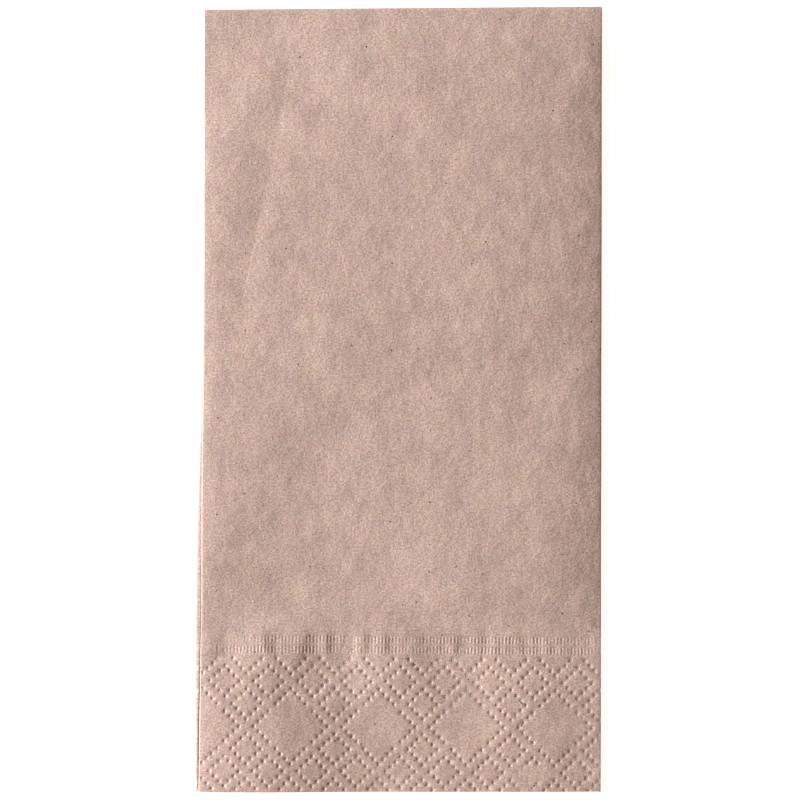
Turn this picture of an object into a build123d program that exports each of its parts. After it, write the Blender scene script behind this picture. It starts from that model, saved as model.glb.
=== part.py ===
from build123d import *
import os
from math import atan2, ceil, cos, pi, sin, sqrt

# A paper napkin of two-ply natural kraft tissue, folded for the table and lying flat.
# One square sheet is folded twice lengthwise into a strip of four layers, and the strip
# is then folded once across, so eight layers lie on each other.
# +X runs across the packet, +Y along it towards the cross fold, and +Z points up.
# The cut end, with the embossed border on the top panel, points to -Y.
# All sizes are in millimetres.

# The paper: the side of the flat square sheet, and how it packs when folded
sheet_side = 400.0
paper_thickness = 0.28
layer_gap = 0.07

# The outline of the folded packet, seen from above
packet_length = 200.4
cut_end_width = 102.6
fold_end_width = 101.3
left_fold_lean = 1.66
cross_fold_skew = 0.8

# How the layers lie: the lower half shows past the upper one at the left
lower_half_slip = 0.85
lower_half_tuck = 0.8
right_fold_depth = 1.0
tight_fold_depth = 0.42
inner_fold_setback = 0.8

# The embossed border: pits on a lattice of diamonds, and two rows of short grooves
pit_step_across = 1.25
pit_step_along = 1.275
pit_radius = 0.66
pit_depth = 0.2
pit_sides = 5
border_from_left_fold = 0.66
border_middle_from_cut = 17.0
groove_pitch = 0.88
groove_length = 1.8
groove_width = 0.5
groove_depth = 0.12
first_groove_row = 19.6
second_groove_row = 22.0
edge_margin = 0.1

# The lattice, counted in pit steps and in cells
diamond_reach = 3
cell_steps = 4.5
outer_row = 3
large_repeat = 4

layer_pitch = paper_thickness + layer_gap
half_height = 4 * layer_pitch - layer_gap / 2
top_z = half_height
straight_length = packet_length - half_height
left_lean = atan2(left_fold_lean, straight_length)
cross_turn = atan2(cross_fold_skew, fold_end_width)


def half_round(reach, rise):
    """The way round half an ellipse, from the mean of its two radii."""
    return pi * sqrt((reach * reach + rise * rise) / 2)


def free_edge(left, right):
    """Where the sheet's two free edges end, once four layers have used up its side."""
    wide = half_round(right_fold_depth - paper_thickness / 2, 1.5 * layer_pitch)
    tight = half_round(tight_fold_depth - paper_thickness / 2, layer_pitch / 2)
    bends = wide + 2 * tight
    straight = (sheet_side - bends) / 2
    panels = 2 * right - right_fold_depth - inner_fold_setback - left - tight_fold_depth
    return panels - straight


def section(left, right):
    """The four layers of one half as one closed outline, seen from the cut end.

    From the lowest up the layers are 0, 1, 2 and 3. The sheet runs from the free edge
    of layer 0 round the right fold to layer 3, round the left fold to layer 2, and
    round the inner right fold to layer 1, which ends in the other free edge.
    A fold is creased inside and rounded outside.
    """
    low = [layer_gap / 2 + k * layer_pitch for k in range(4)]
    top = [z + paper_thickness for z in low]
    free = free_edge(left, right)
    left_bend = left + tight_fold_depth
    right_bend = right - right_fold_depth
    inner_bend = right - inner_fold_setback
    tight_rise = (layer_pitch + paper_thickness) / 2
    right_middle = (right_bend, (low[0] + top[3]) / 2)
    left_middle = (left_bend, (low[2] + top[3]) / 2)
    inner_middle = (inner_bend, (low[1] + top[2]) / 2)
    with BuildSketch() as sketch:
        with BuildLine():
            Line((free, low[0]), (right_bend, low[0]))
            rounded(right_middle, right_fold_depth, (top[3] - low[0]) / 2, -90)
            Line((right_bend, top[3]), (left_bend, top[3]))
            rounded(left_middle, tight_fold_depth, tight_rise, 90)
            Polyline((left_bend, low[2]), (inner_bend, low[2]), (inner_bend, top[1]), (free, top[1]))
            Polyline((free, top[1]), (free, low[1]), (inner_bend, low[1]))
            rounded(inner_middle, tight_fold_depth, tight_rise, -90)
            Polyline((inner_bend, top[2]), (left_bend, top[2]), (left_bend, low[3]), (right_bend, low[3]))
            rounded(right_middle, right_fold_depth - paper_thickness, (low[3] - top[0]) / 2, -90)
            Polyline((right_bend, top[0]), (free, top[0]), (free, low[0]))
        make_face()
    return sketch.sketch.face()


def rounded(middle, reach, rise, start):
    """Half an ellipse round the middle of a fold, from one side of it to the other."""
    EllipticalCenterArc(middle, reach, rise, start, arc_size=180)


def across(y, turn):
    """The upright plane across the packet at y, turned by some radians about the upright."""
    return Plane((0, y, 0), x_dir=(cos(turn), sin(turn), 0), z_dir=(sin(turn), -cos(turn), 0))


def strip(start, end):
    """The surface from one edge of a section to the same edge of the next section."""
    if start.geom_type == GeomType.LINE:
        return flat_face(start @ 0, start @ 1, end @ 1, end @ 0)
    return Face.make_surface_from_curves(start, end)


def flat_face(*corners):
    return Face(Wire.make_polygon(corners))


def pit_places():
    """The pits in steps from the centre of a large diamond on the middle row.

    Every second cell of the lattice holds a small diamond of pits. A large diamond
    takes the place of four of them, and keeps only their outer sides.
    """
    reach = range(-diamond_reach, diamond_reach + 1)
    ring = [(x, y) for x in reach for y in reach if abs(x) + abs(y) == diamond_reach]
    columns = ceil(cut_end_width / pit_step_across / cell_steps) + 1
    for row in range(-outer_row, outer_row + 1):
        for column in range(-1, columns):
            if (row + column) % 2 == 1:
                for x, y in ring:
                    past_border = abs(row * cell_steps + y) > outer_row * cell_steps
                    if not past_border and not inside_large(column, row, x, y):
                        yield column * cell_steps + x, row * cell_steps + y


def inside_large(column, row, x, y):
    """Whether this pit of a cell is on a side that looks into a large diamond."""
    phase = column % large_repeat
    if row == 0:
        return x < 0 if phase == 1 else x > 0
    if phase == 0 and abs(row) == 1:
        return y * row < 0
    return False


def on_panel(across_border, along_border):
    """A place on the top panel, from a place in the border, which follows the left fold."""
    origin_x = border_middle_from_cut * left_fold_lean / straight_length + border_from_left_fold
    x = origin_x + across_border * cos(left_lean) + along_border * sin(left_lean)
    y = border_middle_from_cut - across_border * sin(left_lean) + along_border * cos(left_lean)
    return x, y


def fits(x, y, half_width, half_length):
    """Whether a mark of this size lies whole on the flat of the top panel."""
    room = edge_margin + half_width
    share_along = y / straight_length
    left = left_fold_lean * share_along + tight_fold_depth
    right = cut_end_width + (left_fold_lean + fold_end_width - cut_end_width) * share_along
    inside = left + room < x < right - right_fold_depth - room
    return inside and y > half_length + edge_margin


def pit(x, y):
    """The rim corners of a pit and its lowest point."""
    corners = []
    for k in range(pit_sides):
        angle = 2 * pi * k / pit_sides + pi / 2
        corners.append((x + pit_radius * cos(angle), y + pit_radius * sin(angle), top_z))
    bottom = (x, y, top_z - pit_depth)
    sides = [flat_face(corners[k - 1], corners[k], bottom) for k in range(pit_sides)]
    return Wire.make_polygon(corners), sides


def groove(x, along_border):
    """The rim of a groove and its faces: two long slopes and two upright ends."""
    half_length = groove_length / 2
    half_width = groove_width / 2
    rim = []
    for u, v in ((-1, -1), (1, -1), (1, 1), (-1, 1)):
        rim.append((*on_panel(x + u * half_width, along_border + v * half_length), top_z))
    foot = (*on_panel(x, along_border - half_length), top_z - groove_depth)
    head = (*on_panel(x, along_border + half_length), top_z - groove_depth)
    faces = [
        flat_face(rim[0], rim[1], foot),
        flat_face(rim[1], rim[2], head, foot),
        flat_face(rim[2], rim[3], head),
        flat_face(rim[3], rim[0], foot, head),
    ]
    return Wire.make_polygon(rim), faces


def border():
    """All the marks of the border, each as its rim and its faces."""
    marks = []
    for across_steps, along_steps in pit_places():
        x, y = on_panel(across_steps * pit_step_across, along_steps * pit_step_along)
        if fits(x, y, pit_radius, pit_radius):
            marks.append(pit(x, y))
    for row in (first_groove_row, second_groove_row):
        for k in range(ceil(cut_end_width / groove_pitch)):
            x, y = on_panel(k * groove_pitch, row)
            if fits(x, y, groove_width / 2, groove_length / 2):
                marks.append(groove(k * groove_pitch, row))
    return marks


def embossed(panel):
    """The top panel with the border's marks pressed into it."""
    marks = border()
    rims = [rim for rim, faces in marks]
    pressed = [face for rim, faces in marks for face in faces]
    return [Face(panel.outer_wire(), rims)] + pressed


def edges_of(plane, face):
    return (plane * face).outer_wire().edges()


def napkin():
    """The whole folded sheet: the upper half, the turn of the cross fold and the lower half."""
    cut_plane = across(0, 0)
    fold_plane = across(straight_length - cross_fold_skew, cross_turn)
    fold_axis = Axis(fold_plane.origin, -fold_plane.x_dir)
    turned_over = Rot(180, 0, 0)
    upper_cut = section(0, cut_end_width)
    at_fold = section(left_fold_lean, left_fold_lean + fold_end_width)
    lower_cut = turned_over * section(-lower_half_slip, cut_end_width - lower_half_tuck)
    upper = zip(edges_of(cut_plane, upper_cut), edges_of(fold_plane, at_fold))
    lower = zip(edges_of(cut_plane, lower_cut), edges_of(fold_plane, turned_over * at_fold))
    faces = [cut_plane * upper_cut, cut_plane * lower_cut]
    for start, end in upper:
        face = strip(start, end)
        on_top = face.bounding_box().min.Z > top_z - layer_gap / 2
        faces += embossed(face) if on_top else [face]
        faces.append(Face.revolve(end, 180, fold_axis))
    faces += [strip(start, end) for start, end in lower]
    return Solid(Shell(faces))


folded = napkin()
box = folded.bounding_box()
folded = Pos(-box.center().X, -box.center().Y, -box.min.Z) * folded
os.makedirs("parts", exist_ok=True)
export_step(folded, "parts/napkin.step")
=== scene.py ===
import bmesh
import bpy
from math import atan2, ceil, copysign, cos, exp, hypot, pi, radians, sin, sqrt
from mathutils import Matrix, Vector, noise
from mathutils.geometry import delaunay_2d_cdt
from random import Random


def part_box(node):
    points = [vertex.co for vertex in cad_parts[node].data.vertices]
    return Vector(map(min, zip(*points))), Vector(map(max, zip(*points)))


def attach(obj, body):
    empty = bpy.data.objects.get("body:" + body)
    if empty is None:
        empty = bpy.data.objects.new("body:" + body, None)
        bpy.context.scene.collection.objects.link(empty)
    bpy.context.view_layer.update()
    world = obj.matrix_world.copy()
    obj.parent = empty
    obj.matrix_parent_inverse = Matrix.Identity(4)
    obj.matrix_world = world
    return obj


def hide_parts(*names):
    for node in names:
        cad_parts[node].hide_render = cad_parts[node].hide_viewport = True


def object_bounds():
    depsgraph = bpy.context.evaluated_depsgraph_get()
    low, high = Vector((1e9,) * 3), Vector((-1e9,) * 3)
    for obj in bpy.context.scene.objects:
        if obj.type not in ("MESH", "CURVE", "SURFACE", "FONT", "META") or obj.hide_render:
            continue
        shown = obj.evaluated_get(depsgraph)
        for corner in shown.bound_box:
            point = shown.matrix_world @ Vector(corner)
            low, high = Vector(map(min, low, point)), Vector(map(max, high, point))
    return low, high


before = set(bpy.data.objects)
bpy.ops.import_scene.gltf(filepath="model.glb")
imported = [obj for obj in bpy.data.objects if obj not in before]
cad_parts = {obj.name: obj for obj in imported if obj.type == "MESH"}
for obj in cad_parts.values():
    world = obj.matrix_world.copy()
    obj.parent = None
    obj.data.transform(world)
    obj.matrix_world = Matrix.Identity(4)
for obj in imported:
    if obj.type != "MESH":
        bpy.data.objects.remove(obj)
cad_low, cad_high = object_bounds()

# A folded paper napkin of two-ply kraft tissue, as one closed sheet with its true thickness.
# All sizes are in millimetres, in the packet's own place: x from the left fold at the cut
# end, y from the cut end, and z from the axis of the cross fold. The mesh is put into the
# frame of the solid at the end. Where two numbers tell where something eases in or out,
# they are the places where that starts and ends.
MM = 0.001
napkin_low, napkin_high = (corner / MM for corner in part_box("napkin"))
packet_length = napkin_high.y - napkin_low.y
packet_height = napkin_high.z - napkin_low.z

# The paper and its folds, as in the solid
sheet_side = 400.0
paper_thickness = 0.28
layer_gap = 0.07
cut_end_width = 102.6
fold_end_width = 101.3
left_fold_lean = 1.66
cross_fold_skew = 0.8
lower_half_slip = 0.85
lower_half_tuck = 0.8
right_fold_depth = 1.0
tight_fold_depth = 0.42
inner_fold_setback = 0.8

# How the folds bend: how wide a tight one stays inside, and how full the right and the left
# one bend, where 2 is an ellipse and more is squarer
crease_reach = 0.05
right_fold_fullness = 4.2
left_fold_fullness = 3.0

# The embossed border: a lattice of pits and two rows of short grooves, at the solid's pitch.
# The solid has the same marks in plainer form.
pit_step_across = 1.25
pit_step_along = 1.275
pit_radius = 0.54
pit_radius_along = 0.64
pit_depth = 0.148
flat_foot_share = 0.33
border_from_left_fold = 0.86
border_middle_from_cut = 17.0
border_end = 41.0
groove_pitch = 0.88
groove_length = 1.42
groove_width = 0.62
groove_depth = 0.06
groove_rows = (19.6, 22.2)

# The lattice, counted in pit steps and in cells
diamond_reach = 3
cell_steps = 4.5
outer_row = 3
large_repeat = 4

# How far pits stray from their places, and the range of their depths
pit_wander = 0.05
pit_place_seed = 3
pit_depth_range = (0.8, 1.2)
pit_depth_seed = 7

# Where handling has crushed the border and how far that reaches, and the share of a pit's
# depth that is left in the middle
crushed_places = ((83.5, 4.2, 4.5), (88.0, 5.2, 3.2), (97.8, 18.8, 1.5))
crushed_share = 0.25

# How unevenly the grooves are pressed: the usual share of their depth, how much patches of
# neighbours and single grooves differ, the size and seed of both in the noise, and the
# limits
groove_usual = 0.8
groove_patches = 0.9
patch_length = 5
patch_seed = 4.4
groove_singles = 0.7
singles_per_mm = 1.7
single_seed = 9.1
groove_least = 0.15
groove_most = 1.4

# How far from the left fold each groove row starts in full, and how faint it is before that
lower_row_start = 3.6
upper_row_start = 6.8
row_start_blend = 0.8
faint_groove = 0.12

# How far the top lies below the packet's full height: everywhere, the least and the most
# that is kept as it is, and how much further it may go
base_drop = 0.3
least_drop = 0.15
deep_drop = 1.7
ease_drop = 0.25

# How the top falls off towards its edges: how far from the edge that starts, how far it
# comes down, and how sharply it bends
right_edge_falls = ((20, 0.86, 2.6), (5, 0.07, 1.6))
left_edge_falls = ((9, 0.22, 3), (4, 0.08, 2))
cross_fold_falls = ((26, 1.0, 2),)

# Broad slopes down across the top: where each starts and ends, and how far it goes down
broad_slopes = ((8, 32, 0.1), (72, 96, 0.3))

# Waves of the top: how high each is, how long across and along, and its seed in the noise.
# The first ones are only where the rows of grooves are.
groove_band_rises = (34, 36)
groove_band_falls = (40, 42.5)
groove_band_waves = ((0.18, 2.6, 9, 12.5), (0.24, 6, 12, 15.5))
top_waves = ((0.09, 14, 18, 3.1), (0.05, 5, 7, 8.4))

# Soft dents that handling has left in the packet: where each starts and ends, from the left
# fold and the cut end, how far it reaches to its left and its right, and its depth. A dent
# with a negative depth is a raised line.
soft_dents = (
    ((31.6, 64.3), (46.7, -22.9), 11.1, 14.5, 0.84),
    ((70.9, 48.6), (66.5, -10.8), 17.0, 19.5, 0.94),
    ((25.7, 55.0), (0.4, 36.0), 10.6, 8.5, 0.72),
    ((26.1, 220.0), (7.5, 102.6), 4.4, 3.8, 0.10),
    ((91.1, 99.8), (48.5, 98.5), 9.0, 14.0, 0.45),
    ((44.5, 103.2), (19.5, 63.3), 9.7, 10.3, 0.44),
    ((65.5, 102.5), (63.0, 88.7), 9.4, 20.0, -0.38),
    ((33.7, 92.5), (42.3, 131.6), 12.9, 17.1, -0.24),
    ((9.3, 220.0), (0.0, 166.7), 17.8, 20.0, 1.15),
    ((11.9, 23.0), (20.6, -24.9), 9.4, 9.9, -0.49),
    ((94.6, 46.7), (97.6, -7.0), 14.9, 8.2, 0.46),
    ((45.7, 59.0), (71.8, 18.3), 7.5, 6.9, 0.41),
    ((80.4, 85.1), (36.0, 60.2), 15.6, 12.2, 0.27),
    ((20.8, 183.5), (52.5, 165.1), 7.8, 7.1, 0.42),
    ((40.3, 36.6), (20.0, 26.8), 6.3, 8.9, 0.30),
    ((101.0, 218.2), (102.0, 179.4), 6.9, 14.7, -0.42),
    ((58.2, 183.3), (35.5, 153.3), 9.5, 8.9, -0.15),
    ((63.4, 44.6), (42.1, -10.3), 4.6, 8.1, 0.12),
    ((15.3, 179.7), (11.9, 161.0), 5.6, 5.9, -0.17),
    ((33.6, 186.5), (91.0, 187.9), 7.4, 5.6, -0.19),
    ((12.8, 66.3), (1.9, 32.0), 6.2, 6.4, 0.21),
    ((78.6, 142.8), (69.0, 127.9), 7.0, 8.4, -0.14),
    ((5.4, 146.0), (43.8, 108.3), 8.0, 5.0, -0.12),
    ((0.0, 23.3), (41.2, 14.7), 6.9, 5.7, -0.23),
)

# Sharp creases, in the same form. The paper falls to the line and rises behind it.
sharp_creases = (
    ((23.5, 184.0), (10.5, 124.0), 4.0, 3.2, 0.065),
    ((16.7, 152.5), (10.5, 124.0), 4.0, 3.2, 0.085),
    ((99.3, 189.0), (102.4, 185.4), 0.5, 1.6, 0.06),
)

# A dent or crease comes in at its start and goes out at its end, over these shares of it
line_comes_in = (-0.15, 0.2)
line_goes_out = (0.8, 1.15)

# How far the lower half shows past the upper one at the left: less towards the cross fold,
# and a little less at the cut end
overhang = 1.1
overhang_goes = (36, 150)
overhang_less_at_cut = 0.25
overhang_comes_in = (0, 34)

# How far both left folds bow to the right, in a hump with its middle and reach, and to the
# left further on
left_hump = (0.27, 128, 26)
left_bow_back = 0.15
left_bow_turns = (162, 182)

# How much further the upper left fold bows: evenly over its first half, and in a hump
upper_bow = 0.22
upper_bow_rises = (-10, 30)
upper_bow_falls = (95, 130)
upper_hump = (0.18, 49, 10)

# How the long sides wander: how high each wave is, how long, its seed in the noise, and how
# far apart the two halves lie there. It fades out over the last share of the way.
side_waves = ((0.12, 26, 1.7, 0.5), (0.04, 9, 5.2, 1))
wander_fades_from = 0.85

# How the lower half is rounded where it shows: the share of its height lost at the edge,
# how sharply that bends, and the least width that it takes
edge_loss = 0.52
edge_bend = 1.7
least_seen = 0.3

# The lower half is pressed hollow under the edge of the upper one: by this share of its
# height at the cut end, and by so much less further on. The hollow starts before that edge,
# and rises and ends after it. Both this and the rounding fade out along the side.
hollow_at_cut = 0.42
hollow_less = 0.34
hollow_eases = (32, 62)
hollow_before_edge = 0.33
hollow_rises_after = 0.8
hollow_ends_after = 3.5
shoulder_ends = (120, 170)

# How fine the mesh is: steps round each fold, then distances between points. Points within
# same_point of each other are one.
right_fold_steps = 16
left_fold_steps = 8
inner_fold_steps = 4
cross_fold_steps = 14
fine_row = 0.3
coarse_row = 4.0
last_row_share = 0.6
fine_cut = 0.3
coarse_cut = 2.5
panel_step = 2.2
hidden_step = 6.0
hidden_margin = 0.4 * hidden_step
border_step = 0.95
nearest_points = 0.11
same_point = 1e-7

# How far the line between the two plies lies inside the cut edges, and the angle from which
# an edge is shaded sharp
ply_split = 0.05
sharp_angle = 50

# The points of a pit, on the upper and the lower half: how many go round it, and its rings
# as shares of its radius
upper_rings = (10, (0.34, 0.54, 0.78, 1.0))
lower_rings = (8, (0.34, 0.68, 1.0))

# The points of a groove, as shares of its width and of its length with its round ends
groove_points_across = (-0.42, -0.16, 0.16, 0.42)
groove_points_along = (-0.5, -0.36, 0, 0.36, 0.5)

# How far the plain points of the border stay from the middle of a pit, in radii, and of a
# row of grooves, in lengths of a groove
clear_of_pit = 1.45
clear_of_groove = 0.7

# The points beside a sharp crease
crease_point_step = 0.9
crease_point_offsets = (-3.0, -1.2, -0.5, -0.18, 0.0, 0.18, 0.5, 1.2, 3.0)

# The points where the lower half shows, from its left edge inwards, and their rows
sliver_insides = (0.55, 0.7, 0.85, 1.0, 1.15, 1.35, 1.8, 3.0)
sliver_end = 172
sliver_fine_end = 60
sliver_fine_row = 1.0
sliver_coarse_row = 3.0

# The paper's patterns: how large each is, and how high the lumps of the creped web rise
cloud_size = 9
tint_size = 2.5
grain_size = 0.45
fleck_spacing = 3.4
web_size = 5
web_relief = 0.3

# The light: a long window low at the left, a little towards the fold end, and an even room.
# Its distance, its size and the floor are in metres, its angles in degrees.
window_distance = 2.4
window_azimuth = 9.5
window_elevation = 16.5
window_size = (1.8, 0.6)
window_power = 161.0
fill_level = 0.265
floor_reach = 3.0
board_glow = 0.81

# The camera looks straight down. The photo is 203.7 mm wide at the top of the packet. What
# lies past view_end, in metres, isn't drawn.
camera_height = 900
photo_width = 203.7
photo_middle = (0.36, -0.26)
sensor_width = 36
view_end = 10

half_height = packet_height / 2
layer_pitch = paper_thickness + layer_gap
straight_length = packet_length - half_height
fold_line_y = straight_length - cross_fold_skew
cross_turn = atan2(cross_fold_skew, fold_end_width)

UPPER, LOWER = 1, -1
OUTER, INNER = 0, 1

# Where each fold's half round starts and how far it turns, in degrees
RIGHT_BEND = (-90, 180)
LEFT_BEND = (90, 180)
INNER_BEND = (90, -180)

# What a point has that the border doesn't reach: a place past its end, and no way in
OFF_BORDER = (0, -border_end)
NOT_PRESSED = (0, 0, 0)


def half_round(middle, radii, bend, steps, fullness=2.0):
    """Points half round a fold, from one layer to the next."""
    x, z = middle
    reach, rise = radii
    start, turn = bend
    made = []
    for k in range(steps + 1):
        angle = radians(start + turn * k / steps)
        across = copysign(abs(cos(angle)) ** (2 / fullness), cos(angle))
        up = copysign(abs(sin(angle)) ** (2 / fullness), sin(angle))
        made.append((x + reach * across, z + rise * up))
    return made


def fold_length(reach, rise):
    """The way round half an ellipse, from the mean of its two radii."""
    return pi * sqrt((reach * reach + rise * rise) / 2)


def free_edge(left, right):
    """Where the sheet's two free edges end, once four layers have used up its side."""
    wide = fold_length(right_fold_depth - paper_thickness / 2, 1.5 * layer_pitch)
    tight = fold_length(tight_fold_depth - paper_thickness / 2, layer_pitch / 2)
    panels = 2 * right - right_fold_depth - inner_fold_setback - left - tight_fold_depth
    return panels - (sheet_side - wide - 2 * tight) / 2


def section(left, right):
    """The columns of the outer and the inner side, in order along the folded strip.

    From the lowest up the layers are 0, 1, 2 and 3. The strip runs from the free edge of
    layer 0 round the right fold to layer 3, round the left fold to layer 2, and round the
    inner fold to layer 1, which ends in the other free edge.
    """
    low = [layer_gap / 2 + k * layer_pitch for k in range(4)]
    top = [z + paper_thickness for z in low]
    free = free_edge(left, right)
    right_middle = (right - right_fold_depth, (low[0] + top[3]) / 2)
    left_middle = (left + tight_fold_depth, (low[2] + top[3]) / 2)
    inner_middle = (right - inner_fold_setback, (low[1] + top[2]) / 2)
    wide_rise = (top[3] - low[0]) / 2
    wide = (right_fold_depth, wide_rise)
    wide_inside = (right_fold_depth - paper_thickness, wide_rise - paper_thickness)
    tight = (tight_fold_depth, (layer_pitch + paper_thickness) / 2)
    tight_inside = (crease_reach, layer_gap / 2)
    right_shape = (RIGHT_BEND, right_fold_steps, right_fold_fullness)
    outer = [(free, low[0])]
    outer += half_round(right_middle, wide, *right_shape)
    outer += half_round(left_middle, tight, LEFT_BEND, left_fold_steps, left_fold_fullness)
    outer += half_round(inner_middle, tight_inside, INNER_BEND, inner_fold_steps)
    outer += [(free, top[1])]
    inner = [(free, top[0])]
    inner += half_round(right_middle, wide_inside, *right_shape)
    inner += half_round(left_middle, tight_inside, LEFT_BEND, left_fold_steps)
    inner += half_round(inner_middle, tight, INNER_BEND, inner_fold_steps)
    inner += [(free, low[1])]
    return outer, inner


# The columns on the way along the strip: each flat lies between two folds or a free edge
RIGHT_FOLD = range(1, right_fold_steps + 2)
LEFT_FOLD = range(RIGHT_FOLD.stop, RIGHT_FOLD.stop + left_fold_steps + 1)
INNER_FOLD = range(LEFT_FOLD.stop, LEFT_FOLD.stop + inner_fold_steps + 1)
LAST = INNER_FOLD.stop
FOLDS = (RIGHT_FOLD, LEFT_FOLD, INNER_FOLD)
FLATS = (
    (0, RIGHT_FOLD[0]),
    (RIGHT_FOLD[-1], LEFT_FOLD[0]),
    (LEFT_FOLD[-1], INNER_FOLD[0]),
    (INNER_FOLD[-1], LAST),
)

# The flat that carries the border, and the one whose edge shows where the lower half slips out
TOP_FLAT = FLATS[1]
SLIVER_FLAT = FLATS[2]

cut_sections = {
    UPPER: section(0, cut_end_width),
    LOWER: section(-lower_half_slip, cut_end_width - lower_half_tuck),
}
fold_section = section(left_fold_lean, left_fold_lean + fold_end_width)


def at_cross_fold(x, z, angle):
    """A place on the turn of the cross fold, from its place in the section and the angle."""
    across = Vector((cos(cross_turn), sin(cross_turn), 0))
    outwards = Vector((-sin(cross_turn), cos(cross_turn), 0))
    radius = z * (cos(angle) * Vector((0, 0, 1)) + sin(angle) * outwards)
    return Vector((0, fold_line_y, 0)) + x * across + radius


def column_place(side, half, column, share):
    """A place on a column of one half, by its share of the way from the cut end to the fold."""
    x, z = cut_sections[half][side][column]
    start = Vector((x, 0, half * z))
    end = at_cross_fold(*fold_section[side][column], 0 if half == UPPER else pi)
    return start.lerp(end, share)


def left_fold_line(half):
    """The left fold's place at the cut end and its lean, in radians."""
    start = 0 if half == UPPER else -lower_half_slip
    return start, atan2(left_fold_lean - start, straight_length)


def on_sheet(half, point):
    """How far a place on a flat lies from the left fold, and along it from the cut end."""
    start, lean = left_fold_line(half)
    x = point.x - start
    return x * cos(lean) - point.y * sin(lean), x * sin(lean) + point.y * cos(lean)


def on_panel(half, across, along):
    """The place on a flat from its distances on the sheet."""
    start, lean = left_fold_line(half)
    x = start + across * cos(lean) + along * sin(lean)
    return x, along * cos(lean) - across * sin(lean)


def ring_of_pits(column, row):
    """The pits of one small diamond of the lattice, in steps from the border's middle."""
    reach = range(-diamond_reach, diamond_reach + 1)
    for x in reach:
        for y in reach:
            on_ring = abs(x) + abs(y) == diamond_reach
            past_border = abs(row * cell_steps + y) > outer_row * cell_steps
            if on_ring and not past_border and not inside_large(column, row, x, y):
                yield column * cell_steps + x, row * cell_steps + y


def inside_large(column, row, x, y):
    """Whether this pit of a cell is on a side that looks into a large diamond."""
    phase = column % large_repeat
    if row == 0:
        return x < 0 if phase == 1 else x > 0
    return phase == 0 and abs(row) == 1 and y * row < 0


def border_pits():
    """Every pit, as its distances from the left fold and from the cut end."""
    draw = Random(pit_place_seed)
    columns = ceil(cut_end_width / pit_step_across / cell_steps) + 1
    for row in range(-outer_row, outer_row + 1):
        for column in range(-1, columns):
            if (row + column) % 2 == 1:
                for x, y in ring_of_pits(column, row):
                    across = border_from_left_fold + x * pit_step_across + draw.gauss(0, pit_wander)
                    along = border_middle_from_cut + y * pit_step_along + draw.gauss(0, pit_wander)
                    yield across, along


def border_grooves():
    """The middle of every groove, as its distances from the left fold and the cut end."""
    for row in groove_rows:
        for k in range(-1, ceil(cut_end_width / groove_pitch) + 2):
            yield border_from_left_fold + k * groove_pitch, border_middle_from_cut + row


class Paper:
    """The sheet's mesh while it is made: its points, what is known of each, and its faces."""

    def __init__(self):
        self.points = []
        self.halves = []
        self.sheet_places = []
        self.border_places = []
        self.inwards = []
        self.faces = []

    def add(self, point, half, sheet_place, border_place=OFF_BORDER, inward=NOT_PRESSED):
        """Adds a point and gives its number."""
        self.points.append(Vector(point))
        self.halves.append(half)
        self.sheet_places.append(sheet_place)
        self.border_places.append(border_place)
        self.inwards.append(inward)
        return len(self.points) - 1

    def strip(self, left, right):
        """Quads between two lines of as many points each."""
        for k in range(len(left) - 1):
            self.faces.append((left[k], right[k], right[k + 1], left[k + 1]))

    def fill(self, rim, inside):
        """Triangles over a flat from its rim and the points inside it."""
        numbers = rim + inside
        places = [self.points[k].to_2d() for k in numbers]
        ring = list(range(len(rim)))
        if sum(places[k - 1].cross(places[k]) for k in ring) < 0:
            ring.reverse()
        inside_only = 1
        made = delaunay_2d_cdt(places, [], [ring], inside_only, same_point, True)
        faces = made[2]
        sources = made[3]
        triangles = [tuple(sources[k][0] for k in face) for face in faces]
        for face in within_rim(triangles, ring):
            self.faces.append([numbers[k] for k in face])


def within_rim(triangles, ring):
    """Leaves out the slivers that lie outside a ring whose sides are almost straight."""
    sides = {(ring[k - 1], ring[k]) for k in range(len(ring))}
    owner = {(face[k - 1], face[k]): face for face in triangles for k in range(3)}
    outside = [owner[b, a] for a, b in sides if (b, a) in owner]
    dropped = set()
    while outside:
        face = outside.pop()
        if face in dropped:
            continue
        dropped.add(face)
        for k in range(3):
            a, b = face[k - 1], face[k]
            if (b, a) in owner and (b, a) not in sides:
                outside.append(owner[b, a])
    return [face for face in triangles if face not in dropped]


paper = Paper()


def rows(fine):
    """The rows of a column between the cut end and the fold, as shares of the way."""
    places = []
    step = fine_row if fine else coarse_row
    y = step
    while y < straight_length - last_row_share * coarse_row:
        places.append(y / straight_length)
        y += step if y < border_end else coarse_row
    return places


def fold_arc(side, fold, half, column):
    """How far round its fold a column lies, from the flat before it."""
    section_points = [Vector(p) for p in cut_sections[half][side]]
    way = 0
    for k in range(fold[0] + 1, column + 1):
        way += (section_points[k] - section_points[k - 1]).length
    return way


def sheet_place(side, half, column, point):
    """A column's place on the flat sheet: from the left fold, going on round the folds."""
    across, along = on_sheet(half, point)
    width = cut_end_width - right_fold_depth
    if column in RIGHT_FOLD:
        last = RIGHT_FOLD[-1]
        bend = fold_arc(side, RIGHT_FOLD, half, last) - fold_arc(side, RIGHT_FOLD, half, column)
        start = on_sheet(half, column_place(side, half, last, along / straight_length))[0]
        return start + bend, along
    if column in LEFT_FOLD:
        return tight_fold_depth - fold_arc(side, LEFT_FOLD, half, column), along
    if column in INNER_FOLD:
        return -width - fold_arc(side, INNER_FOLD, half, column), along
    if column == LAST:
        turned = fold_arc(side, INNER_FOLD, half, INNER_FOLD[-1])
        return -width - turned - (width - across), along
    return 2 * width - across, along


def sheet_uv(half, place):
    """The place on the flat sheet as shares of its side."""
    across, along = place
    along = along if half == UPPER else sheet_side - along
    return 0.5 + across / sheet_side, along / sheet_side


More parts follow.
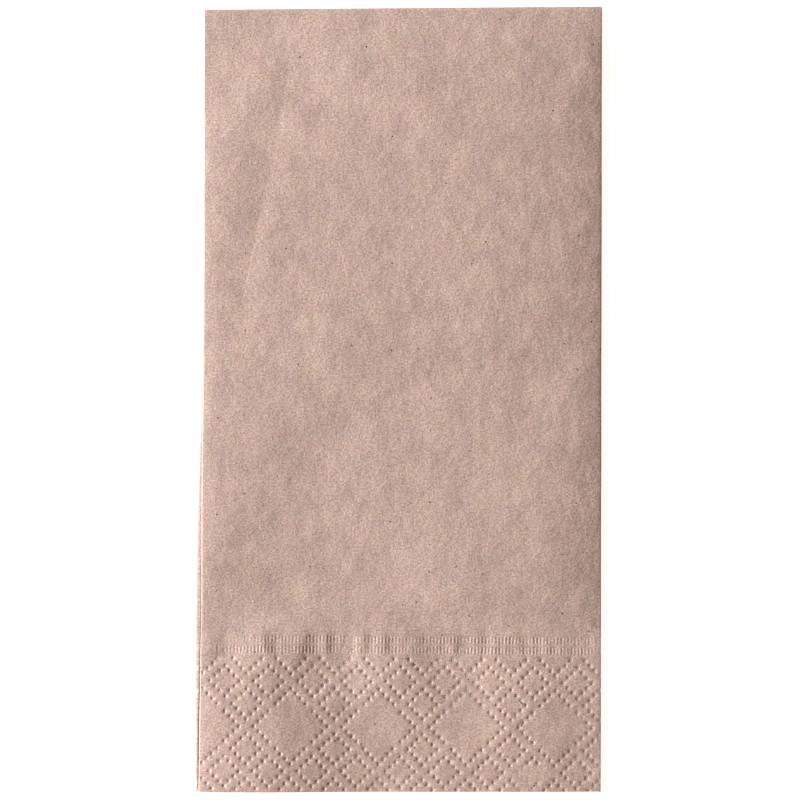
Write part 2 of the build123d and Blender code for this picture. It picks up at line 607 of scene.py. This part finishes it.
def on_seen_fold(side, column):
    """Whether a column lies outside on the right or left fold, where the border goes on."""
    return side == OUTER and (column in RIGHT_FOLD or column in LEFT_FOLD)


def column_point(side, half, column, share):
    """Adds the point of a column at a row."""
    point = column_place(side, half, column, share)
    place = sheet_place(side, half, column, point)
    if on_seen_fold(side, column):
        inward = (column_place(INNER, half, column, share) - point).normalized()
        return paper.add(point, half, sheet_uv(half, place), place, inward)
    return paper.add(point, half, sheet_uv(half, place))


def flat_point(side, half, flat, point):
    """Adds a point on a flat."""
    across, along = on_sheet(half, point)
    unfolded = (2 * cut_end_width - across, across, -across, across - 2 * cut_end_width)
    place = sheet_uv(half, (unfolded[FLATS.index(flat)], along))
    if side == OUTER and flat == TOP_FLAT:
        return paper.add(point, half, place, (across, along), (0, 0, -half))
    return paper.add(point, half, place)


def between(side, half, flat, first, last, count):
    """Adds the points of a straight line across a flat, between the points of two columns."""
    start, end = paper.points[first], paper.points[last]
    return [flat_point(side, half, flat, start.lerp(end, k / count)) for k in range(1, count)]


def cut_line(side, half):
    """The points of the cut end of one half: those of its columns and of each flat."""
    columns = [column_point(side, half, k, 0) for k in range(LAST + 1)]
    return columns, across_flats(side, half, columns, fine_cut, coarse_cut)


def turn_line(side, step):
    """The points of one line round the cross fold: those of its columns and of each flat."""
    angle = pi * step / cross_fold_steps
    half = UPPER if 2 * step <= cross_fold_steps else LOWER
    columns = []
    for column in range(LAST + 1):
        point = at_cross_fold(*fold_section[side][column], angle)
        place = sheet_place(side, half, column, column_place(side, half, column, 1))
        columns.append(paper.add(point, half, sheet_uv(half, place)))
    return columns, across_flats(side, half, columns, panel_step, panel_step)


def across_flats(side, half, columns, top_step, other_step):
    """The points that a line of columns has across each flat."""
    flats = {}
    for flat in FLATS:
        count = ceil(cut_end_width / (top_step if flat == TOP_FLAT else other_step))
        flats[flat] = between(side, half, flat, columns[flat[0]], columns[flat[1]], count)
    return flats


def whole_line(columns, flats):
    """A line's points in one list, columns and flats in order."""
    line = []
    for number, point in enumerate(columns):
        line.append(point)
        for flat in FLATS:
            if flat[0] == number:
                line += flats[flat]
    return line


def fold_rows(side, half, columns_at_cut, columns_at_fold):
    """Every column of one half from the cut end to the fold, and the strips of the folds."""
    columns = []
    for column in range(LAST + 1):
        shares = rows(on_seen_fold(side, column))
        middle = [column_point(side, half, column, share) for share in shares]
        columns.append([columns_at_cut[column]] + middle + [columns_at_fold[column]])
    for fold in FOLDS:
        for column in fold[1:]:
            paper.strip(columns[column - 1], columns[column])
    return columns


class Spread:
    """Places that others have to keep clear of, in cells, so that near ones are soon found."""

    def __init__(self, clear):
        self.clear = clear
        self.cells = {}

    def cell(self, x, y):
        return int(x // self.clear), int(y // self.clear)

    def keep(self, x, y):
        self.cells.setdefault(self.cell(x, y), []).append((x, y))

    def has_room(self, x, y):
        """Whether a place is clear of all that are kept."""
        i, j = self.cell(x, y)
        for u in (i - 1, i, i + 1):
            for v in (j - 1, j, j + 1):
                for other in self.cells.get((u, v), ()):
                    if hypot(other[0] - x, other[1] - y) < self.clear:
                        return False
        return True


def lattice(x_end, y_start, y_end, step):
    """Places on a regular grid with every other row moved by half a step."""
    for row in range(int((y_end - y_start) / step) + 1):
        for k in range(int(x_end / step) + 1):
            yield (k + 0.5 * (row % 2)) * step, y_start + row * step


def rings(points_round, shares):
    """The places of one pit's points round its middle: the middle and a few rings."""
    yield 0, 0
    for number, share in enumerate(shares):
        for k in range(points_round):
            angle = 2 * pi * (k + 0.5 * (number % 2)) / points_round
            yield share * pit_radius * cos(angle), share * pit_radius_along * sin(angle)


def groove_points():
    """The places of one groove's points round its middle, and of those before the next."""
    for along in groove_points_along:
        for across in groove_points_across:
            yield across * groove_width, along * (groove_length + groove_width)
        yield groove_pitch / 2, along * (groove_length + groove_width)


def in_groove_rows(along):
    """Whether a place lies in one of the two rows of grooves."""
    reach = clear_of_groove * groove_length
    return any(abs(along - border_middle_from_cut - row) < reach for row in groove_rows)


def panel_places(points_round, ring_shares):
    """The places of a bordered panel's inside points, finest at the pits and grooves."""
    pits = Spread(clear_of_pit * pit_radius)
    for across, along in border_pits():
        pits.keep(across, along)
        for x, y in rings(points_round, ring_shares):
            yield across + x, along + y
    for across, along in border_grooves():
        for x, y in groove_points():
            yield across + x, along + y
    for across, along in lattice(cut_end_width, 0.5 * border_step, border_end, border_step):
        if pits.has_room(across, along) and not in_groove_rows(along):
            yield across, along
    yield from lattice(cut_end_width, border_end + panel_step, packet_length, panel_step)


def crease_places():
    """Places on and beside the sharp creases, so that the mesh can hold their edges."""
    for start, end, *shape in sharp_creases:
        way = Vector(end) - Vector(start)
        aside = Vector((-way.y, way.x)).normalized()
        for k in range(ceil(way.length / crease_point_step) + 1):
            middle = Vector(start) + way.normalized() * crease_point_step * k
            for offset in crease_point_offsets:
                yield middle + aside * offset


def sliver_places():
    """Places along the edge of the lower half, where it shows past the upper one."""
    y = 0.0
    while y < sliver_end:
        for inside in sliver_insides:
            yield lower_rim(y) + inside, y
        y += sliver_fine_row if y < sliver_fine_end else sliver_coarse_row


def flat_places(half, shows, sliver, detail):
    """The places for a flat's inside points: fine on the two panels that show."""
    if shows:
        creases = crease_places() if half == UPPER else ()
        return [*creases, *(on_panel(half, *place) for place in panel_places(*detail))]
    edge = sliver_places() if sliver else ()
    x_end = cut_end_width + left_fold_lean
    return [*edge, *lattice(x_end, 0.5 * hidden_step, packet_length, hidden_step)]


def inside_points(side, half, flat, columns, detail):
    """Adds the points inside a flat, which keep away from its rim and from each other."""
    edges = (columns[flat[0]], columns[flat[1]])
    left, right = sorted(edges, key=lambda line: paper.points[line[0]].x)
    cut_left, fold_left = paper.points[left[0]], paper.points[left[-1]]
    cut_right, fold_right = paper.points[right[0]], paper.points[right[-1]]
    shows = side == OUTER and flat == TOP_FLAT
    sliver = side == OUTER and flat == SLIVER_FLAT and half == LOWER
    margin = nearest_points if shows or sliver else hidden_margin
    fold_margin = max(margin, 0.5 * panel_step)
    spread = Spread(nearest_points)
    made = []
    for x, y in flat_places(half, shows, sliver, detail):
        share = y / fold_left.y
        x_low = cut_left.x + (fold_left.x - cut_left.x) * share
        x_high = cut_right.x + (fold_right.x - cut_right.x) * share
        y_high = fold_left.y + (fold_right.y - fold_left.y) * (x - x_low) / (x_high - x_low)
        between_sides = x_low + margin < x < x_high - margin
        between_ends = margin < y < y_high - fold_margin
        if between_sides and between_ends and spread.has_room(x, y):
            spread.keep(x, y)
            made.append(flat_point(side, half, flat, Vector((x, y, cut_left.z))))
    return made


def make_half(side, half, detail, fold_columns, fold_flats):
    """One half of a side. Returns its line of points at the cut end, and its columns."""
    cut_columns, cut_flats = cut_line(side, half)
    columns = fold_rows(side, half, cut_columns, fold_columns)
    for flat in FLATS:
        start, end = columns[flat[0]], columns[flat[1]]
        inside = inside_points(side, half, flat, columns, detail)
        rim = start[:1] + cut_flats[flat] + end + fold_flats[flat][::-1] + start[:0:-1]
        paper.fill(rim, inside)
    return whole_line(cut_columns, cut_flats), columns


def make_side(side):
    """One side of the whole folded sheet. Returns its rim, in order round the sheet."""
    turns = [turn_line(side, step) for step in range(cross_fold_steps + 1)]
    lines = [whole_line(*turn) for turn in turns]
    for k in range(cross_fold_steps):
        paper.strip(lines[k], lines[k + 1])
    upper_cut, upper = make_half(side, UPPER, upper_rings, *turns[0])
    lower_cut, lower = make_half(side, LOWER, lower_rings, *turns[-1])
    last = upper[LAST][1:-1] + [line[-1] for line in lines] + lower[LAST][-2:0:-1]
    first = lower[0][1:-1] + [line[0] for line in lines[::-1]] + upper[0][-2:0:-1]
    return upper_cut, last, lower_cut[::-1], first


def close_rim(outer, inner):
    """The paper's cut edges all round the sheet, with the fine line between its two plies."""
    from_cut_end = Vector((0, ply_split, 0))
    from_free_edge = Vector((ply_split, 0, 0))
    inwards = (from_cut_end, from_free_edge, from_cut_end, from_free_edge)
    outer_ring = []
    middle_ring = []
    inner_ring = []
    for outer_side, inner_side, inward in zip(outer, inner, inwards):
        for a, b in zip(outer_side, inner_side):
            point = (paper.points[a] + paper.points[b]) / 2 + inward
            middle_ring.append(paper.add(point, paper.halves[a], paper.sheet_places[a]))
        outer_ring += outer_side
        inner_ring += inner_side
    paper.strip(outer_ring + outer_ring[:1], middle_ring + middle_ring[:1])
    paper.strip(middle_ring + middle_ring[:1], inner_ring + inner_ring[:1])


def ease(value, start, end):
    """0 before start and 1 after end, with a smooth rise between."""
    share = min(max((value - start) / (end - start), 0), 1)
    return share * share * (3 - 2 * share)


def hump(value, height, middle, reach):
    """Highest in the middle, with a smooth fall to both sides."""
    return height * exp(-(((value - middle) / reach) ** 2))


def rolled_off(distance, reach, drop, bend):
    """How far the paper has come down towards an edge."""
    return drop * (1 - min(max(distance, 0) / reach, 1)) ** bend


def wave(x, y, length_across, length_along, seed):
    """Smooth noise between -1 and 1, as waves of this length."""
    return noise.noise(Vector((x / length_across, y / length_along, seed)))


def beside(x, y, start, end, left_reach, right_reach):
    """How many reaches beside a line a place lies, and how much of the line is there."""
    way = Vector(end) - Vector(start)
    out = Vector((x, y)) - Vector(start)
    along = out.dot(way) / way.length_squared
    there = ease(along, *line_comes_in) * (1 - ease(along, *line_goes_out))
    aside = out.cross(way) / way.length
    return aside / (right_reach if aside < 0 else left_reach), there


def relief(x, y):
    """How far the top panel lies below its full height at a place."""
    share = y / straight_length
    from_left = x - left_fold_lean * share
    from_right = cut_end_width + (left_fold_lean + fold_end_width - cut_end_width) * share - x
    from_fold = packet_length - y
    drop = 0
    for fall in right_edge_falls:
        drop += rolled_off(from_right, *fall)
    for fall in left_edge_falls:
        drop += rolled_off(from_left, *fall)
    for fall in cross_fold_falls:
        drop += rolled_off(from_fold, *fall)
    for *line, depth in soft_dents:
        aside, there = beside(x, y, *line)
        drop += depth * there * exp(-(aside ** 2))
    for *line, depth in sharp_creases:
        aside, there = beside(x, y, *line)
        drop += depth * there * exp(-abs(aside))
    drop += sum(depth * ease(x, start, end) for start, end, depth in broad_slopes)
    in_groove_band = ease(y, *groove_band_rises) * (1 - ease(y, *groove_band_falls))
    for height, *shape in groove_band_waves:
        drop += height * in_groove_band * wave(x, y, *shape)
    for height, *shape in top_waves:
        drop += height * (1 + wave(x, y, *shape))
    return kept_within(drop + base_drop)


def kept_within(drop):
    """Eases a drop, so that the paper stays between its full height and its flattest."""
    if drop < least_drop:
        return least_drop * exp((drop - least_drop) / least_drop)
    if drop > deep_drop:
        return deep_drop + ease_drop * (1 - exp((deep_drop - drop) / ease_drop))
    return drop


def lower_overhang(y):
    """How far the lower half shows past the upper one at the left."""
    less_at_cut = overhang_less_at_cut * (1 - ease(y, *overhang_comes_in))
    return overhang * (1 - ease(y, *overhang_goes)) - less_at_cut


def left_fold_bow(y):
    """How far the left fold lies to the right of its straight line."""
    return hump(y, *left_hump) - left_bow_back * ease(y, *left_bow_turns)


def upper_fold_bow(y):
    """How much further to the right the upper half's left fold lies."""
    bow = upper_bow * ease(y, *upper_bow_rises) * (1 - ease(y, *upper_bow_falls))
    return bow + hump(y, *upper_hump)


def side_wander(half, y):
    """How far the long sides of one half stray from straight, from smooth noise."""
    strays = 0
    for height, length, seed, apart in side_waves:
        strays += height * noise.noise(Vector((apart * half, y / length, seed)))
    return strays


def lower_rim(y):
    """The left edge of the lower half before it settled."""
    share = y / straight_length
    return left_fold_lean * y / straight_length - lower_half_slip * (1 - share)


def shoulder(inside, y):
    """The share of its height that the lower half has lost near its left edge."""
    share = y / straight_length
    upper_rim = left_fold_lean * y / straight_length + upper_fold_bow(y)
    seen = upper_rim - lower_rim(y) + lower_overhang(y) - lower_half_slip * (1 - share)
    way_in = min(max(inside, 0) / max(seen, least_seen), 1)
    rounded = edge_loss * (1 - way_in) ** edge_bend
    deepest = hollow_at_cut - hollow_less * ease(y, *hollow_eases)
    falls = ease(inside, seen - hollow_before_edge, seen)
    rises = ease(inside, seen + hollow_rises_after, seen + hollow_ends_after)
    return (rounded + deepest * falls * (1 - rises)) * (1 - ease(y, *shoulder_ends))


def settled(point, half):
    """Where a point of the ideal packet lies in the real one."""
    x, y, z = point
    share = y / straight_length
    by_left_side = max(0, 1 - x / cut_end_width)
    height = z + half_height
    if half == LOWER:
        height *= 1 - shoulder(x - lower_rim(y), y)
        x -= (lower_overhang(y) - lower_half_slip * (1 - share)) * by_left_side
    else:
        x += upper_fold_bow(y) * by_left_side
    wander = side_wander(half, y) * (1 - ease(share, wander_fades_from, 1))
    x += wander * (2 * by_left_side - 1) + left_fold_bow(y) * by_left_side
    height *= 1 - relief(point.x, y) / packet_height
    return Vector((x, y, height))


def place_in_frame(point):
    """From the packet's own place to the frame of the solid, in metres."""
    return Vector((
        (point.x + napkin_low.x + lower_half_slip) * MM,
        (point.y + napkin_low.y) * MM,
        (point.z + napkin_low.z) * MM,
    ))


def turn_outwards(mesh):
    """Turns all faces outwards and shades them smooth, apart from the edges of the paper."""
    work = bmesh.new()
    work.from_mesh(mesh)
    bmesh.ops.recalc_face_normals(work, faces=work.faces)
    for face in work.faces:
        face.smooth = True
    for edge in work.edges:
        edge.smooth = edge.calc_face_angle(0) < radians(sharp_angle)
    work.to_mesh(mesh)
    work.free()


def make_mesh():
    """The folded sheet as a mesh that knows each point's place on the flat sheet."""
    close_rim(make_side(OUTER), make_side(INNER))
    mesh = bpy.data.meshes.new("napkin_sheet")
    points = [settled(point, half) for point, half in zip(paper.points, paper.halves)]
    mesh.from_pydata([place_in_frame(point) for point in points], [], paper.faces)
    border_place = mesh.attributes.new("border_place", "FLOAT_VECTOR", "POINT")
    inward = mesh.attributes.new("inward", "FLOAT_VECTOR", "POINT")
    for number, (across, along) in enumerate(paper.border_places):
        border_place.data[number].vector = (across * MM, along * MM, 0)
        inward.data[number].vector = paper.inwards[number]
    flat_map = mesh.uv_layers.new(name="flat_sheet")
    for loop in mesh.loops:
        flat_map.data[loop.index].uv = paper.sheet_places[loop.vertex_index]
    turn_outwards(mesh)
    return mesh


def places_object(name, places, shares):
    """An object of loose points that the border's tree reads its marks from."""
    mesh = bpy.data.meshes.new(name)
    mesh.from_pydata([(across * MM, along * MM, 0) for across, along in places], [], [])
    pressed = mesh.attributes.new("pressed_share", "FLOAT", "POINT")
    for number, share in enumerate(shares):
        pressed.data[number].value = share
    made = bpy.data.objects.new(name, mesh)
    bpy.context.collection.objects.link(made)
    return made


# Settings that several nodes share
TIMES = {"operation": "MULTIPLY"}
SCALE = {"operation": "SCALE"}
LARGER = {"operation": "MAXIMUM"}
NUMBER = {"data_type": "FLOAT"}
VECTOR = {"data_type": "FLOAT_VECTOR"}
COLOURS = {"data_type": "RGBA"}


def add_node(tree, kind, settings=None, give=None, **inputs):
    """Adds a node, sets its properties and its inputs by name, and gives one output."""
    node = tree.nodes.new(kind)
    for name, value in (settings or {}).items():
        setattr(node, name, value)
    for name, value in inputs.items():
        socket = input_socket(node, name)
        if isinstance(value, bpy.types.NodeSocket):
            tree.links.new(value, socket)
        else:
            socket.default_value = value
    outputs = [s for s in node.outputs if s.enabled and give in (None, s.name)]
    return outputs[0] if outputs else node


def input_socket(node, name):
    """The input of this name in small letters. After _2 it is the second of that name."""
    second = name.endswith("_2")
    plain = name[:-2] if second else name
    found = [s for s in node.inputs if s.enabled and s.name.lower().replace(" ", "_") == plain]
    return found[1 if second else 0]


def empty_tree(owner):
    """The node tree of a new material or world, with nothing in it."""
    owner.use_nodes = True
    owner.node_tree.nodes.clear()
    return owner.node_tree


def border_tree():
    """Presses pits and grooves into a sheet, from their places on it."""
    tree = bpy.data.node_groups.new("press_border", "GeometryNodeTree")
    sockets = (
        ("Sheet", "NodeSocketGeometry"),
        ("Pit Places", "NodeSocketObject"),
        ("Groove Places", "NodeSocketObject"),
        ("Pit Radius", "NodeSocketFloat"),
        ("Pit Squeeze", "NodeSocketVector"),
        ("Pit Depth", "NodeSocketFloat"),
        ("Groove Width", "NodeSocketFloat"),
        ("Groove Length", "NodeSocketFloat"),
        ("Groove Depth", "NodeSocketFloat"),
        ("Paper", "NodeSocketMaterial"),
    )
    for name, kind in sockets:
        tree.interface.new_socket(name, in_out="INPUT", socket_type=kind)
    tree.interface.new_socket("Sheet", in_out="OUTPUT", socket_type="NodeSocketGeometry")
    given = tree.nodes.new("NodeGroupInput").outputs
    place = add_node(tree, "GeometryNodeInputNamedAttribute", VECTOR, name="border_place")
    inward = add_node(tree, "GeometryNodeInputNamedAttribute", VECTOR, name="inward")

    # The rims of the pits are oval. Their places come squeezed, so that they are round here.
    pits = add_node(tree, "GeometryNodeObjectInfo", give="Geometry", object=given["Pit Places"])
    squeeze = given["Pit Squeeze"]
    pit_place = add_node(tree, "ShaderNodeVectorMath", TIMES, vector=place, vector_2=squeeze)
    pit_size = (given["Pit Radius"], given["Pit Depth"])
    pit_press = pressed(tree, pits, pits, pit_place, "POINTS", *pit_size)

    # Each groove is pressed along a line through its place
    grooves = given["Groove Places"]
    grooves = add_node(tree, "GeometryNodeObjectInfo", give="Geometry", object=grooves)
    half = add_node(tree, "ShaderNodeMath", TIMES, value=given["Groove Length"], value_2=0.5)
    end = add_node(tree, "ShaderNodeCombineXYZ", y=half)
    start = add_node(tree, "ShaderNodeVectorMath", SCALE, vector=end, scale=-1.0)
    ends = {"mode": "END_POINTS", "count_mode": "TOTAL"}
    line = add_node(tree, "GeometryNodeMeshLine", ends, count=2, start_location=start, offset=end)
    lines = add_node(tree, "GeometryNodeInstanceOnPoints", points=grooves, instance=line)
    lines = add_node(tree, "GeometryNodeRealizeInstances", geometry=lines)
    radius = add_node(tree, "ShaderNodeMath", TIMES, value=given["Groove Width"], value_2=0.5)
    groove_press = pressed(tree, lines, grooves, place, "EDGES", radius, given["Groove Depth"])

    # The deeper of the two is pressed, and its share of a pit's depth is kept for the material,
    # which paints light into the pits with it
    deepest = add_node(tree, "ShaderNodeMath", LARGER, value=pit_press, value_2=groove_press)
    parts = {"value": deepest, "value_2": given["Pit Depth"]}
    share = add_node(tree, "ShaderNodeMath", {"operation": "DIVIDE"}, **parts)
    kept = {"geometry": given["Sheet"], "name": "pressed", "value": share}
    on_points = {"data_type": "FLOAT", "domain": "POINT"}
    sheet = add_node(tree, "GeometryNodeStoreNamedAttribute", on_points, **kept)
    offset = add_node(tree, "ShaderNodeVectorMath", SCALE, vector=inward, scale=deepest)
    sheet = add_node(tree, "GeometryNodeSetPosition", geometry=sheet, offset=offset)
    real = add_node(tree, "GeometryNodeRealizeInstances", geometry=sheet)
    done = add_node(tree, "GeometryNodeSetMaterial", geometry=real, material=given["Paper"])
    add_node(tree, "NodeGroupOutput", sheet=done)
    return tree


def pressed(tree, marks, middles, place, target, reach, depth):
    """How deep a place is pressed by the nearest mark, in a smooth round hollow."""
    at_mark = {"geometry": marks, "sample_position": place}
    nearest_mark = {"target_element": target}
    away = add_node(tree, "GeometryNodeProximity", nearest_mark, give="Distance", **at_mark)
    nearest = add_node(tree, "GeometryNodeSampleNearest", geometry=middles, sample_position=place)
    share = add_node(tree, "GeometryNodeInputNamedAttribute", NUMBER, name="pressed_share")
    of_nearest = {"geometry": middles, "value": share, "index": nearest}
    share = add_node(tree, "GeometryNodeSampleIndex", NUMBER, **of_nearest)
    foot = add_node(tree, "ShaderNodeMath", TIMES, value=reach, value_2=flat_foot_share)
    smooth = {"interpolation_type": "SMOOTHSTEP"}
    hollow = add_node(tree, "ShaderNodeMapRange", smooth, value=away, from_min=reach, from_max=foot)
    deep = add_node(tree, "ShaderNodeMath", TIMES, value=hollow, value_2=depth)
    return add_node(tree, "ShaderNodeMath", TIMES, value=deep, value_2=share)


def colour(hex_value):
    """An sRGB hex colour as linear red, green, blue and alpha."""
    parts = [int(hex_value[k:k + 2], 16) / 255 for k in (1, 3, 5)]
    return (*[p / 12.92 if p <= 0.04045 else ((p + 0.055) / 1.055) ** 2.4 for p in parts], 1)


def kraft_tissue():
    """Unbleached kraft tissue, wet-laid and dry-creped, with two plies embossed together.

    The brown fibres settle in an uneven felt, so it looks soft and cloudy, with a fine
    grain and a few dark flecks. It has only a faint pale shine, where it faces the window.
    """
    material = bpy.data.materials.new("kraft_tissue_creped")
    tree = empty_tree(material)
    flat = add_node(tree, "ShaderNodeUVMap", {"uv_map": "flat_sheet"})
    in_mm = (sheet_side, sheet_side, sheet_side)
    place = add_node(tree, "ShaderNodeMapping", vector=flat, scale=in_mm)

    # Patches of denser and thinner pulp, from about 9 mm across down to 1 mm
    patches = {"scale": 1 / cloud_size, "detail": 4.0, "roughness": 0.62}
    cloud = add_node(tree, "ShaderNodeTexNoise", vector=place, **patches)
    cloud = add_node(tree, "ShaderNodeMapRange", value=cloud, from_min=0.35, from_max=0.65)
    dense, thin = colour("#BDA197"), colour("#CCAFA2")
    pulp = add_node(tree, "ShaderNodeMix", COLOURS, factor=cloud, a=dense, b=thin)

    # The fibres are not all of one colour, so smaller patches are faintly pink, yellow or grey
    patches = {"scale": 1 / tint_size, "detail": 4.0, "roughness": 0.5}
    tints = add_node(tree, "ShaderNodeTexNoise", give="Color", vector=place, **patches)
    pulp = add_node(tree, "ShaderNodeMix", COLOURS, factor=0.08, a=pulp, b=tints)

    # The felted fibres, as light and dark grain. They are a few hundredths of a millimetre
    # thick, and drawn coarser than that, so that they show.
    fibres = {"scale": 1 / grain_size, "detail": 1.0, "roughness": 0.5}
    grain = add_node(tree, "ShaderNodeTexNoise", vector=place, **fibres)
    shades = {"from_min": 0.3, "from_max": 0.7, "to_min": 0.7, "to_max": 1.3}
    shade = add_node(tree, "ShaderNodeMapRange", value=grain, **shades)
    pulp = add_node(tree, "ShaderNodeVectorMath", SCALE, vector=pulp, scale=shade)

    # Lighter where the pins of the border pressed, by up to 12 per cent: painted light that lifts
    # the shade in the pits
    pin = add_node(tree, "ShaderNodeAttribute", {"attribute_name": "pressed"}, give="Fac")
    pit_painted_light = add_node(tree, "ShaderNodeMapRange", value=pin, to_min=1.0, to_max=1.12)
    pulp = add_node(tree, "ShaderNodeVectorMath", SCALE, vector=pulp, scale=pit_painted_light)

    # Sparse flecks of bark: a few cells of the pattern have one, 0.15 to 0.5 mm across
    flat_cells = {"voronoi_dimensions": "2D"}
    spacing = 1 / fleck_spacing
    cell = add_node(tree, "ShaderNodeTexVoronoi", flat_cells, vector=place, scale=spacing)
    chosen = add_node(tree, "ShaderNodeSeparateColor", color=cell.node.outputs["Color"])
    sizes = {"from_min": 0.93, "from_max": 1.0, "to_min": 0.02, "to_max": 0.075}
    size = add_node(tree, "ShaderNodeMapRange", value=chosen, **sizes)
    fleck = add_node(tree, "ShaderNodeMath", {"operation": "LESS_THAN"}, value=cell, value_2=size)
    pulp = add_node(tree, "ShaderNodeMix", COLOURS, factor=fleck, a=pulp, b=colour("#5E483D"))

    # Relief too fine for the mesh: soft lumps of the creped web, down to the felt of its fibres
    lumps = {"scale": 1 / web_size, "detail": 5.0, "roughness": 0.6}
    web = add_node(tree, "ShaderNodeTexNoise", vector=place, **lumps)
    bump = add_node(tree, "ShaderNodeBump", height=web, strength=1.0, distance=web_relief * MM)

    # Soft and dull, with a little nap
    finish = {"roughness": 0.5, "specular_ior_level": 0.8}
    nap = {"sheen_weight": 0.1, "sheen_roughness": 0.6}
    surface = {"base_color": pulp, "normal": bump, **finish, **nap}
    shader = add_node(tree, "ShaderNodeBsdfPrincipled", **surface)
    add_node(tree, "ShaderNodeOutputMaterial", surface=shader)
    return material


def pressed_well(across, along):
    """The share of its depth that handling has left to a pit."""
    share = 1
    for x, y, reach in crushed_places:
        saved = ease(hypot(across - x, along - y), 0.5 * reach, reach)
        share = min(share, crushed_share + (1 - crushed_share) * saved)
    return share


def groove_share(across, along):
    """The share of its depth that a groove got: neighbours got much the same."""
    patch = noise.noise(Vector((across / patch_length, along, patch_seed)))
    single = noise.noise(Vector((across * singles_per_mm, along, single_seed)))
    share = groove_usual + groove_patches * patch + groove_singles * single
    upper_row = along > border_middle_from_cut + groove_rows[0]
    start = upper_row_start if upper_row else lower_row_start
    in_full = ease(across, start - row_start_blend, start + row_start_blend)
    by_the_fold = faint_groove + (1 - faint_groove) * in_full
    return min(max(share, groove_least), groove_most) * by_the_fold


def press_border(sheet, values):
    """Runs the border's tree on the sheet, and keeps the plain mesh that it gives."""
    modifier = sheet.modifiers.new("press_border", "NODES")
    modifier.node_group = border_tree()
    for item in modifier.node_group.interface.items_tree:
        if item.in_out == "INPUT" and item.name in values:
            modifier[item.identifier] = values[item.name]
    pressed_sheet = sheet.evaluated_get(bpy.context.evaluated_depsgraph_get())
    done = bpy.data.meshes.new_from_object(pressed_sheet)
    sheet.modifiers.clear()
    sheet.data = done


def make_napkin():
    """The napkin with its border pressed in."""
    sheet = bpy.data.objects.new("napkin_sheet", make_mesh())
    bpy.context.collection.objects.link(sheet)
    pits = list(border_pits())
    grooves = list(border_grooves())
    draw = Random(pit_depth_seed)
    pit_shares = [draw.uniform(*pit_depth_range) * pressed_well(*place) for place in pits]
    groove_shares = [groove_share(*place) for place in grooves]
    squeeze = pit_radius / pit_radius_along
    squeezed_pits = [(across, along * squeeze) for across, along in pits]
    pit_object = places_object("pit_places", squeezed_pits, pit_shares)
    groove_object = places_object("groove_places", grooves, groove_shares)
    press_border(sheet, {
        "Pit Places": pit_object,
        "Groove Places": groove_object,
        "Pit Radius": pit_radius * MM,
        "Pit Squeeze": (1, squeeze, 1),
        "Pit Depth": pit_depth * MM,
        "Groove Width": groove_width * MM,
        "Groove Length": groove_length * MM,
        "Groove Depth": groove_depth * MM,
        "Paper": kraft_tissue(),
    })
    for helper in (pit_object, groove_object):
        bpy.data.objects.remove(helper)
    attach(sheet, "root")
    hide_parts("napkin")
    return sheet


def white_board():
    """A white matt board that the camera sees as plain white, apart from the shadow on it."""
    material = bpy.data.materials.new("white_board")
    tree = empty_tree(material)
    rays = tree.nodes.new("ShaderNodeLightPath").outputs
    camera, glossy = rays["Is Camera Ray"], rays["Is Glossy Ray"]
    seen = add_node(tree, "ShaderNodeMath", LARGER, value=camera, value_2=glossy)
    through = rays["Is Transmission Ray"]
    seen = add_node(tree, "ShaderNodeMath", LARGER, value=seen, value_2=through)
    glow = add_node(tree, "ShaderNodeMath", TIMES, value=seen, value_2=board_glow)
    board = add_node(tree, "ShaderNodeBsdfDiffuse", color=(0.8, 0.8, 0.8, 1))
    white = add_node(tree, "ShaderNodeEmission", color=(1, 1, 1, 1), strength=glow)
    both = add_node(tree, "ShaderNodeAddShader", shader=board, shader_2=white)
    add_node(tree, "ShaderNodeOutputMaterial", surface=both)
    return material


def lay_floor():
    """The board that the napkin lies on."""
    mesh = bpy.data.meshes.new("floor")
    corners = [(-floor_reach, -floor_reach, 0), (floor_reach, -floor_reach, 0)]
    corners += [(floor_reach, floor_reach, 0), (-floor_reach, floor_reach, 0)]
    mesh.from_pydata(corners, [], [(0, 1, 2, 3)])
    mesh.materials.append(white_board())
    floor = bpy.data.objects.new("floor", mesh)
    bpy.context.collection.objects.link(floor)


def light_room():
    """A pale, slightly warm room all round, that the camera sees as white."""
    world = bpy.data.worlds.new("pale_room")
    tree = empty_tree(world)
    seen = tree.nodes.new("ShaderNodeLightPath").outputs["Is Camera Ray"]
    levels = {"value": seen, "to_min": fill_level, "to_max": 1.0}
    strength = add_node(tree, "ShaderNodeMapRange", **levels)
    walls = {"factor": seen, "a": colour("#FFE9D2"), "b": (1, 1, 1, 1)}
    walls = add_node(tree, "ShaderNodeMix", COLOURS, **walls)
    ground = add_node(tree, "ShaderNodeBackground", color=walls, strength=strength)
    add_node(tree, "ShaderNodeOutputWorld", surface=ground)
    bpy.context.scene.world = world


def add_window():
    """The soft light of a long window, turned to the napkin."""
    lamp = bpy.data.lights.new("window", "AREA")
    lamp.shape = "RECTANGLE"
    lamp.size, lamp.size_y = window_size
    lamp.energy = window_power
    window = bpy.data.objects.new("window", lamp)
    turn = radians(window_azimuth)
    rise = radians(window_elevation)
    window.location = (
        -window_distance * cos(turn) * cos(rise),
        window_distance * sin(turn) * cos(rise),
        window_distance * sin(rise),
    )
    window.rotation_euler = (-Vector(window.location)).to_track_quat("-Z", "Y").to_euler()
    bpy.context.collection.objects.link(window)


def add_camera():
    """The camera of the photo."""
    lens = bpy.data.cameras.new("camera")
    lens.sensor_width = sensor_width
    lens.lens = sensor_width * camera_height / photo_width
    lens.clip_end = view_end
    camera = bpy.data.objects.new("camera", lens)
    height = camera_height * MM + cad_high.z
    camera.location = (photo_middle[0] * MM, photo_middle[1] * MM, height)
    bpy.context.collection.objects.link(camera)
    bpy.context.scene.camera = camera


napkin = make_napkin()
lay_floor()
light_room()
add_window()
add_camera()
bpy.context.scene.view_settings.view_transform = "Standard"
